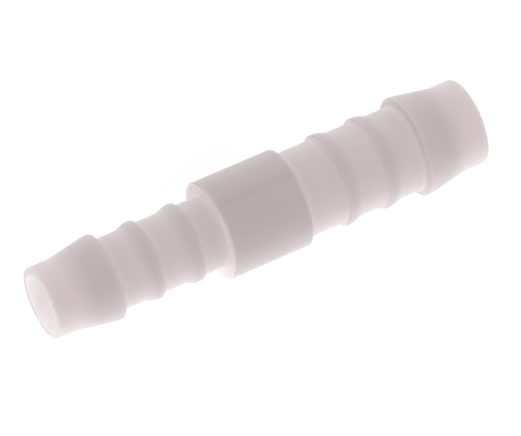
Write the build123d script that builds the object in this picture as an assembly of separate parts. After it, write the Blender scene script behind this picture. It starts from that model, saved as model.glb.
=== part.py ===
from build123d import *
import os

# Barbed hose reducer, moulded in one piece.
# Millimetres. The bore runs along X with the large tail towards +X, +Z is up,
# and the origin is the middle of the part, on the bore's axis.

# ---- Driving dimensions ----
overall_length = 64.3
small_tail_length = 25.15
collar_length = 11.8
collar_diameter = 13.75

# Each tail fits a hose of this bore, and its stem is as thick as that bore.
small_hose_bore = 10.0
large_hose_bore = 12.0
wall = 1.0

# Both tails have the same features, measured from their own open end.
tip_extra = 0.05           # the tip's radius over the stem's
tip_length = 3.35
barb_height = 1.0
barb_cone_end = 8.75
barb_back = 9.55
ridge_height = 0.5
ridge_backs = (15.55, 21.55)
ridge_length = 2.4
ridge_land = 0.9

# The two bores meet in a short taper inside the collar.
bore_taper_length = 2.0

# ---- Corner roundings ----
rim_outside_rounding = 0.35
rim_inside_rounding = 0.25
cone_foot_rounding = 4.0
cone_top_rounding = 2.5
barb_edge_rounding = 0.25
barb_foot_rounding = 0.5
ridge_foot_rounding = 1.2
ridge_top_rounding = 1.0
ridge_edge_rounding = 0.22
ridge_back_foot_rounding = 0.22
collar_foot_rounding = 0.35
collar_edge_rounding = 0.2
bore_taper_rounding = 1.0

# ---- Derived places ----
small_end_x = -overall_length / 2
large_end_x = overall_length / 2
collar_small_face_x = small_end_x + small_tail_length
collar_large_face_x = collar_small_face_x + collar_length
collar_middle_x = collar_small_face_x + collar_length / 2
small_bore_end_x = collar_middle_x - bore_taper_length / 2
large_bore_end_x = collar_middle_x + bore_taper_length / 2
small_bore_radius = small_hose_bore / 2 - wall
large_bore_radius = large_hose_bore / 2 - wall


def tail_corners(stem_radius):
    """Corners of one tail's outside: (distance from the open end, radius, rounding)."""
    tip_radius = stem_radius + tip_extra
    barb_radius = stem_radius + barb_height
    ridge_radius = stem_radius + ridge_height
    corners = [
        (0, tip_radius, rim_outside_rounding),
        (tip_length, tip_radius, cone_foot_rounding),
        (barb_cone_end, barb_radius, cone_top_rounding),
        (barb_back, barb_radius, barb_edge_rounding),
        (barb_back, stem_radius, barb_foot_rounding),
    ]
    for ridge_back in ridge_backs:
        corners += [
            (ridge_back - ridge_length, stem_radius, ridge_foot_rounding),
            (ridge_back - ridge_land, ridge_radius, ridge_top_rounding),
            (ridge_back, ridge_radius, ridge_edge_rounding),
            (ridge_back, stem_radius, ridge_back_foot_rounding),
        ]
    return corners


def collar_corners():
    """Corners of the collar, with the inside corners where it meets the two stems."""
    return [
        (collar_small_face_x, small_hose_bore / 2, collar_foot_rounding),
        (collar_small_face_x, collar_diameter / 2, collar_edge_rounding),
        (collar_large_face_x, collar_diameter / 2, collar_edge_rounding),
        (collar_large_face_x, large_hose_bore / 2, collar_foot_rounding),
    ]


def bore_corners():
    """Corners of the bore, from the large end back to the small one."""
    return [
        (large_end_x, large_bore_radius, rim_inside_rounding),
        (large_bore_end_x, large_bore_radius, bore_taper_rounding),
        (small_bore_end_x, small_bore_radius, bore_taper_rounding),
        (small_end_x, small_bore_radius, rim_inside_rounding),
    ]


def reducer_section():
    """The wall's section on one side of the axis, with every corner rounded."""
    small_corners = tail_corners(small_hose_bore / 2)
    large_corners = tail_corners(large_hose_bore / 2)
    small_tail = [(small_end_x + along, radius, rounding) for along, radius, rounding in small_corners]
    large_tail = [(large_end_x - along, radius, rounding) for along, radius, rounding in large_corners]
    corners = small_tail + collar_corners() + large_tail[::-1] + bore_corners()
    points = [(x, radius) for x, radius, rounding in corners]
    roundings = [rounding for x, radius, rounding in corners]
    outline = FilletPolyline(*points, radius=roundings, close=True)
    return make_face(outline)


def reducer_body():
    """The whole moulding: the wall's section turned about the bore's axis."""
    return revolve(reducer_section(), axis=Axis.X, revolution_arc=360)


os.makedirs("parts", exist_ok=True)
body = reducer_body()
body.label = "reducer_body"
export_step(body, "parts/reducer_body.step")
size = body.bounding_box().size
print("reducer_body", round(size.X, 2), round(size.Y, 2), round(size.Z, 2), "mm")
print("volume", round(body.volume, 1), "mm3")
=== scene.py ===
import math

import bpy
from mathutils import Matrix, Vector


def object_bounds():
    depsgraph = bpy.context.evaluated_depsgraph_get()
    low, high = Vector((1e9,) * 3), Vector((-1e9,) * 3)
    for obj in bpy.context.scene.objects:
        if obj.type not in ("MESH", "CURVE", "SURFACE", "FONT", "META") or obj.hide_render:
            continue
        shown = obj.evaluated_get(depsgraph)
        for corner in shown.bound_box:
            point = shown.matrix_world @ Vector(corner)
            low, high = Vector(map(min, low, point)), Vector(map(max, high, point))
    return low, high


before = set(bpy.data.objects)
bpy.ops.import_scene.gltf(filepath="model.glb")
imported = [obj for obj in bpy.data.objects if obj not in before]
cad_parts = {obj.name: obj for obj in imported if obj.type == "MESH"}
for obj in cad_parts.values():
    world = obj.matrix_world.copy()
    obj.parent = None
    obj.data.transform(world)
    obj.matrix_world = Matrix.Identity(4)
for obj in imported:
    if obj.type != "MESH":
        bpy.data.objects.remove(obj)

MM = 0.001
cad_low, cad_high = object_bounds()

# ---- Camera ----
CAMERA_DISTANCE = 0.658        # from the aim point, metres
SENSOR_WIDTH = 36.0            # millimetres
LENS = 345.5                   # millimetres
LEAN = math.radians(18.4)      # how far the small end leans towards the camera
ROLL = math.radians(23.29)     # the bore's axis climbs this much to the right in the picture
AIM_RIGHT = 0.470 * MM         # the picture's middle, from the origin
AIM_UP = -0.860 * MM
CLIP_START = 0.01
CLIP_END = 20

# ---- Light ----
SKY = 0.72
BACKDROP = 1.0                 # what the camera sees above the floor's edge
FLOOR_GLOW_FAR = 0.86          # on the picture's upper side of the part
FLOOR_GLOW_NEAR = 1.3          # on its lower side
FLOOR_GLOW_BLEND = 6 * MM      # half the width over which one turns into the other
FLOOR_ALBEDO = 0.2
FLOOR_ROUGHNESS = 0.9
FLOOR_SIZE = 3.0

# ---- Plastic, with painted light through the wall: the thicker the wall, the deeper the painted shade ----
BORE_TONE = (0.82, 0.79, 0.79, 1)
RIM_TONE = (0.70, 0.65, 0.655, 1)
STEM_TONE = (0.80, 0.72, 0.725, 1)
RIDGE_TONE = (0.715, 0.635, 0.64, 1)
SOLID_TONE = (0.74, 0.66, 0.665, 1)
RIM_WALL = 0.12 * MM
RIM_EDGE_WALL = 0.9 * MM
STEM_WALL = 1.0 * MM
RIDGE_WALL = 1.5 * MM
SOLID_WALL = 1.9 * MM
SMALL_BORE_RADIUS = 4.0 * MM
LARGE_BORE_RADIUS = 5.0 * MM
SMALL_BORE_END_X = -2.1 * MM
LARGE_BORE_END_X = -0.1 * MM
END_X = 32.15 * MM             # each open end, from the part's middle
COLLAR_PAINTED_SHADE = 0.925            # painted shade: the collar is the thickest part
TIP_PAINTED_LIGHT = 1.055               # painted light: both open ends are a little lighter
TIP_X = (24 * MM, 30 * MM)
LOW_FACE_PAINTED_SHADE = 0.90           # painted shade on the steep backs of the ridges
HIGH_FACE_PAINTED_LIGHT = 1.14          # painted light on the end faces of the collar
FACE_WALLS = (1.4 * MM, 2.4 * MM)
COLLAR_FOOT_PAINTED_LIGHT = 1.12        # painted light in the inside corners beside the collar
EDGE_PAINTED_SHADE = 0.82               # painted shade on the outside edges, against the plastic's shine there
SHOULDER_WALLS = (1.2 * MM, 1.4 * MM)
SHOULDER_SLOPE = (0.25, 0.65)  # how far the surface leans along the axis, 1 being an end face
FACE_SLOPE = (0.85, 0.98)
CORNER_PAINTED_GLOW = 0.35             # painted glow, standing in for light through the plastic filling the inside corners
CORNER_REACH = 1.2 * MM
CORNER_SAMPLES = 8

# ---- Painted glow, standing in for the light that comes through the thin wall into the bore ----
GLOW_COLOUR = (0.80, 0.775, 0.78, 1)
BORE_PAINTED_GLOW = 0.205
BORE_GLOW_WALL = 0.12 * MM     # it fades over this much of the rim
BORE_GLOW_DEPTH = 20 * MM      # and over this way in from each open end

# ---- Plastic: scattering, shine and grain ----
SCATTER_RADIUS = 1.0 * MM
PLASTIC_IOR = 1.5
SMOOTHEST = 0.38               # roughness
ROUGHEST = 0.48
NOISE_SPAN = (0.3, 0.7)        # where nearly all of a noise's values lie
CLOUD_SCALE = 140              # soft clouding in the plastic, per metre
CLOUD_DETAIL = 3.0
CLOUD_DARKEST = 0.97
GRAIN_SCALE = 2600             # fine moulded grain, per metre
GRAIN_DETAIL = 2.0
GRAIN_DEPTH = 0.006 * MM

# ---- The faint line along the collar ----
COLLAR_SMALL_FACE_X = -7.0 * MM
COLLAR_LARGE_FACE_X = 4.8 * MM
COLLAR_BLEND = 0.1 * MM
COLLAR_MIDDLE_X = (COLLAR_SMALL_FACE_X + COLLAR_LARGE_FACE_X) / 2
COLLAR_ZONE = (6.6 * MM, 6.4 * MM)   # the collar with its inside corners, from its middle
LINE_FADE_Y = 3.95 * MM        # where the line starts to darken
LINE_DARK_Y = 2.55 * MM        # where it is darkest
LINE_EDGE_Y = 1.95 * MM        # where it ends
LINE_TONE = 0.955


def place_camera():
    """Looks down on the part, with the small end lower left and nearer."""
    towards_camera = Vector((-math.sin(LEAN), 0, math.cos(LEAN)))
    along_axis = Vector((math.cos(LEAN), 0, math.sin(LEAN)))
    across = Vector((0, 1, 0))
    right = math.cos(ROLL) * along_axis - math.sin(ROLL) * across
    up = math.sin(ROLL) * along_axis + math.cos(ROLL) * across
    aim = AIM_RIGHT * right + AIM_UP * up
    data = bpy.data.cameras.new("camera")
    data.sensor_width = SENSOR_WIDTH
    data.lens = LENS
    data.clip_start = CLIP_START
    data.clip_end = CLIP_END
    camera = bpy.data.objects.new("camera", data)
    turn = Matrix((right, up, towards_camera)).transposed()
    place = Matrix.Translation(aim + CAMERA_DISTANCE * towards_camera)
    camera.matrix_world = place @ turn.to_4x4()
    bpy.context.scene.collection.objects.link(camera)
    bpy.context.scene.camera = camera


def floor_material():
    material = bpy.data.materials.new("pale_floor")
    material.use_nodes = True
    shader = material.node_tree.nodes["Principled BSDF"]
    shader.inputs["Base Color"].default_value = (FLOOR_ALBEDO,) * 3 + (1,)
    shader.inputs["Roughness"].default_value = FLOOR_ROUGHNESS
    shader.inputs["Specular IOR Level"].default_value = 0.0
    shader.inputs["Emission Color"].default_value = (1, 1, 1, 1)
    nodes, links = material.node_tree.nodes, material.node_tree.links
    place = nodes.new("ShaderNodeTexCoord")
    split = nodes.new("ShaderNodeSeparateXYZ")
    glow = nodes.new("ShaderNodeMapRange")
    glow.interpolation_type = "SMOOTHSTEP"
    glow.inputs["From Min"].default_value = -FLOOR_GLOW_BLEND
    glow.inputs["From Max"].default_value = FLOOR_GLOW_BLEND
    glow.inputs["To Min"].default_value = FLOOR_GLOW_NEAR
    glow.inputs["To Max"].default_value = FLOOR_GLOW_FAR
    links.new(place.outputs["Object"], split.inputs[0])
    links.new(split.outputs["Y"], glow.inputs["Value"])
    links.new(glow.outputs["Result"], shader.inputs["Emission Strength"])
    return material


def add_floor():
    half = FLOOR_SIZE / 2
    z = cad_low.z
    mesh = bpy.data.meshes.new("floor")
    corners = [(-half, -half, z), (half, -half, z), (half, half, z), (-half, half, z)]
    mesh.from_pydata(corners, [], [(0, 1, 2, 3)])
    floor = bpy.data.objects.new("floor", mesh)
    mesh.materials.append(floor_material())
    bpy.context.scene.collection.objects.link(floor)


def add_world():
    world = bpy.data.worlds.new("studio")
    bpy.context.scene.world = world
    world.use_nodes = True
    nodes, links = world.node_tree.nodes, world.node_tree.links
    sky = nodes["Background"]
    sky.inputs["Color"].default_value = (1, 1, 1, 1)
    sky.inputs["Strength"].default_value = SKY
    backdrop = nodes.new("ShaderNodeBackground")
    backdrop.inputs["Color"].default_value = (1, 1, 1, 1)
    backdrop.inputs["Strength"].default_value = BACKDROP
    path = nodes.new("ShaderNodeLightPath")
    choice = nodes.new("ShaderNodeMixShader")
    links.new(path.outputs["Is Camera Ray"], choice.inputs["Fac"])
    links.new(sky.outputs[0], choice.inputs[1])
    links.new(backdrop.outputs[0], choice.inputs[2])
    links.new(choice.outputs[0], nodes["World Output"].inputs["Surface"])


def map_range(tree, value, span, result, kind="LINEAR"):
    node = tree.nodes.new("ShaderNodeMapRange")
    node.interpolation_type = kind
    node.inputs["From Min"].default_value, node.inputs["From Max"].default_value = span
    node.inputs["To Min"].default_value, node.inputs["To Max"].default_value = result
    tree.links.new(value, node.inputs["Value"])
    return node.outputs["Result"]


def maths(tree, operation, first, second):
    node = tree.nodes.new("ShaderNodeMath")
    node.operation = operation
    tree.links.new(first, node.inputs[0])
    tree.links.new(second, node.inputs[1])
    return node.outputs[0]


def wall_thickness(tree, place):
    """The wall under a point of the outside: its distance from the axis, less the bore's radius."""
    across = tree.nodes.new("ShaderNodeCombineXYZ")
    tree.links.new(place["Y"], across.inputs["Y"])
    tree.links.new(place["Z"], across.inputs["Z"])
    radius = tree.nodes.new("ShaderNodeVectorMath")
    radius.operation = "LENGTH"
    tree.links.new(across.outputs[0], radius.inputs[0])
    taper = (SMALL_BORE_END_X, LARGE_BORE_END_X)
    bore = map_range(tree, place["X"], taper, (SMALL_BORE_RADIUS, LARGE_BORE_RADIUS))
    return maths(tree, "SUBTRACT", radius.outputs["Value"], bore)


def painted_wall_light(tree, thickness):
    """The plastic's colour with painted light through the wall: lighter where the wall is thin,
    deeper painted shade where it is solid.
    """
    tones = tree.nodes.new("ShaderNodeValToRGB")
    tree.links.new(map_range(tree, thickness, (0, SOLID_WALL), (0, 1)), tones.inputs["Fac"])
    ramp = tones.color_ramp
    ramp.elements[0].color = BORE_TONE
    ramp.elements[1].color = SOLID_TONE
    ramp.elements.new(RIM_WALL / SOLID_WALL).color = RIM_TONE
    ramp.elements.new(RIM_EDGE_WALL / SOLID_WALL).color = RIM_TONE
    ramp.elements.new(STEM_WALL / SOLID_WALL).color = STEM_TONE
    ramp.elements.new(RIDGE_WALL / SOLID_WALL).color = RIDGE_TONE
    return tones.outputs["Color"]


def on_collar(tree, place, thickness):
    """1 on the collar's round side, 0 elsewhere."""
    high = map_range(tree, thickness, (RIDGE_WALL, SOLID_WALL), (0, 1))
    small_side = (COLLAR_SMALL_FACE_X, COLLAR_SMALL_FACE_X + COLLAR_BLEND)
    large_side = (COLLAR_LARGE_FACE_X, COLLAR_LARGE_FACE_X - COLLAR_BLEND)
    past_small_face = map_range(tree, place["X"], small_side, (0, 1))
    before_large_face = map_range(tree, place["X"], large_side, (0, 1))
    between_faces = maths(tree, "MULTIPLY", past_small_face, before_large_face)
    return maths(tree, "MULTIPLY", high, between_faces)


def collar_line(tree, place, collar):
    """A faint line along the collar, on its upper side: it darkens slowly and ends sharply."""
    fade = map_range(tree, place["Y"], (LINE_FADE_Y, LINE_DARK_Y), (0, 1), "SMOOTHSTEP")
    edge = map_range(tree, place["Y"], (LINE_EDGE_Y, LINE_DARK_Y), (0, 1), "SMOOTHSTEP")
    upper = map_range(tree, place["Z"], (0, SMALL_BORE_RADIUS), (0, 1))
    mask = maths(tree, "MULTIPLY", fade, edge)
    mask = maths(tree, "MULTIPLY", mask, upper)
    mask = maths(tree, "MULTIPLY", mask, collar)
    return map_range(tree, mask, (0, 1), (1, LINE_TONE))


def absolute(tree, value):
    node = tree.nodes.new("ShaderNodeMath")
    node.operation = "ABSOLUTE"
    tree.links.new(value, node.inputs[0])
    return node.outputs[0]


def blend(tree, factor, first, second):
    """From the first to the second as the factor goes from 0 to 1. Either may be a plain number."""
    node = tree.nodes.new("ShaderNodeMix")
    tree.links.new(factor, node.inputs[0])
    for socket, value in ((node.inputs[2], first), (node.inputs[3], second)):
        if isinstance(value, float):
            socket.default_value = value
        else:
            tree.links.new(value, socket)
    return node.outputs[0]


def painted_shape_light(tree, place, thickness):
    """An amount to multiply by: painted light on the collar's faces and inside corners, painted
    shade on the ridges' steep backs and on the outside edges.
    """
    from_middle = tree.nodes.new("ShaderNodeMath")
    from_middle.operation = "SUBTRACT"
    from_middle.inputs[1].default_value = COLLAR_MIDDLE_X
    tree.links.new(place["X"], from_middle.inputs[0])
    at_collar = map_range(tree, absolute(tree, from_middle.outputs[0]), COLLAR_ZONE, (0, 1))
    normal = tree.nodes.new("ShaderNodeSeparateXYZ")
    tree.links.new(tree.nodes.new("ShaderNodeNewGeometry").outputs["Normal"], normal.inputs[0])
    past_rim = map_range(tree, thickness, (RIM_EDGE_WALL, STEM_WALL), (0, 1))
    slope = maths(tree, "MULTIPLY", absolute(tree, normal.outputs["X"]), past_rim)
    foot = blend(tree, at_collar, 1.0, COLLAR_FOOT_PAINTED_LIGHT)
    at_edge = map_range(tree, thickness, SHOULDER_WALLS, (0, 1))
    shoulder = blend(tree, at_edge, foot, EDGE_PAINTED_SHADE)
    face = map_range(tree, thickness, FACE_WALLS, (LOW_FACE_PAINTED_SHADE, HIGH_FACE_PAINTED_LIGHT))
    face = blend(tree, at_collar, face, HIGH_FACE_PAINTED_LIGHT)
    on_shoulder = map_range(tree, slope, SHOULDER_SLOPE, (0, 1), "SMOOTHSTEP")
    on_face = map_range(tree, slope, FACE_SLOPE, (0, 1), "SMOOTHSTEP")
    return blend(tree, on_face, blend(tree, on_shoulder, 1.0, shoulder), face)


def bore_glow(tree, place, thickness):
    """How strongly the bore's surface glows: painted light standing in for light through the wall.
    """
    inside = map_range(tree, thickness, (0, BORE_GLOW_WALL), (1, 0), "SMOOTHSTEP")
    span = (END_X - BORE_GLOW_DEPTH, END_X)
    near_end = map_range(tree, absolute(tree, place["X"]), span, (0, BORE_PAINTED_GLOW))
    return maths(tree, "MULTIPLY", inside, near_end)


def corner_glow(tree, thickness):
    """A painted glow in the inside corners, standing in for light through the plastic, by how far
    they are closed in.
    """
    openness = tree.nodes.new("ShaderNodeAmbientOcclusion")
    openness.samples = CORNER_SAMPLES
    openness.inputs["Distance"].default_value = CORNER_REACH
    closed = map_range(tree, openness.outputs["AO"], (0, 1), (CORNER_PAINTED_GLOW, 0))
    past_rim = map_range(tree, thickness, (RIM_EDGE_WALL, STEM_WALL), (0, 1))
    return maths(tree, "MULTIPLY", closed, past_rim)


def noise(tree, coordinates, scale, detail):
    node = tree.nodes.new("ShaderNodeTexNoise")
    node.inputs["Scale"].default_value = scale
    node.inputs["Detail"].default_value = detail
    tree.links.new(coordinates, node.inputs["Vector"])
    return node.outputs["Fac"]


def tinted(tree, colour, amount):
    """A colour multiplied by a grey amount."""
    node = tree.nodes.new("ShaderNodeMix")
    node.data_type = "RGBA"
    node.blend_type = "MULTIPLY"
    node.inputs[0].default_value = 1.0
    tree.links.new(colour, node.inputs[6])
    tree.links.new(amount, node.inputs[7])
    return node.outputs[2]


def plastic():
    material = bpy.data.materials.new("natural_white_plastic")
    material.use_nodes = True
    tree = material.node_tree
    shader = tree.nodes["Principled BSDF"]
    coordinates = tree.nodes.new("ShaderNodeTexCoord").outputs["Object"]
    split = tree.nodes.new("ShaderNodeSeparateXYZ")
    tree.links.new(coordinates, split.inputs[0])
    place = split.outputs
    thickness = wall_thickness(tree, place)
    clouds = noise(tree, coordinates, CLOUD_SCALE, CLOUD_DETAIL)
    grain = noise(tree, coordinates, GRAIN_SCALE, GRAIN_DETAIL)

    # painted light through the wall: lighter where it is thin, deeper painted shade where it is
    # thick
    colour = painted_wall_light(tree, thickness)
    collar = on_collar(tree, place, thickness)
    # painted shade over the collar, where the plastic is thickest
    colour = tinted(tree, colour, map_range(tree, collar, (0, 1), (1, COLLAR_PAINTED_SHADE)))
    colour = tinted(tree, colour, collar_line(tree, place, collar))
    # painted light on the collar's faces and inside corners, painted shade on ridge backs and
    # outside edges
    colour = tinted(tree, colour, painted_shape_light(tree, place, thickness))
    # painted light at both open ends
    tip_painted_light = map_range(tree, absolute(tree, place["X"]), TIP_X, (1, TIP_PAINTED_LIGHT))
    colour = tinted(tree, colour, tip_painted_light)
    colour = tinted(tree, colour, map_range(tree, clouds, NOISE_SPAN, (CLOUD_DARKEST, 1)))
    tree.links.new(colour, shader.inputs["Base Color"])
    shader.inputs["Emission Color"].default_value = GLOW_COLOUR
    # painted glow: the bore and the inside corners shine as if lit through the plastic
    glow = maths(tree, "ADD", bore_glow(tree, place, thickness), corner_glow(tree, thickness))
    tree.links.new(glow, shader.inputs["Emission Strength"])
    roughness = map_range(tree, grain, NOISE_SPAN, (SMOOTHEST, ROUGHEST))
    tree.links.new(roughness, shader.inputs["Roughness"])
    bump = tree.nodes.new("ShaderNodeBump")
    bump.inputs["Distance"].default_value = GRAIN_DEPTH
    tree.links.new(grain, bump.inputs["Height"])
    tree.links.new(bump.outputs[0], shader.inputs["Normal"])
    shader.inputs["IOR"].default_value = PLASTIC_IOR
    shader.inputs["Subsurface Weight"].default_value = 1.0
    shader.inputs["Subsurface Radius"].default_value = (1, 1, 1)
    shader.inputs["Subsurface Scale"].default_value = SCATTER_RADIUS
    return material


add_floor()
add_world()
place_camera()
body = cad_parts["reducer_body"]
body.data.materials[0] = plastic()

scene = bpy.context.scene
scene.view_settings.view_transform = "Standard"
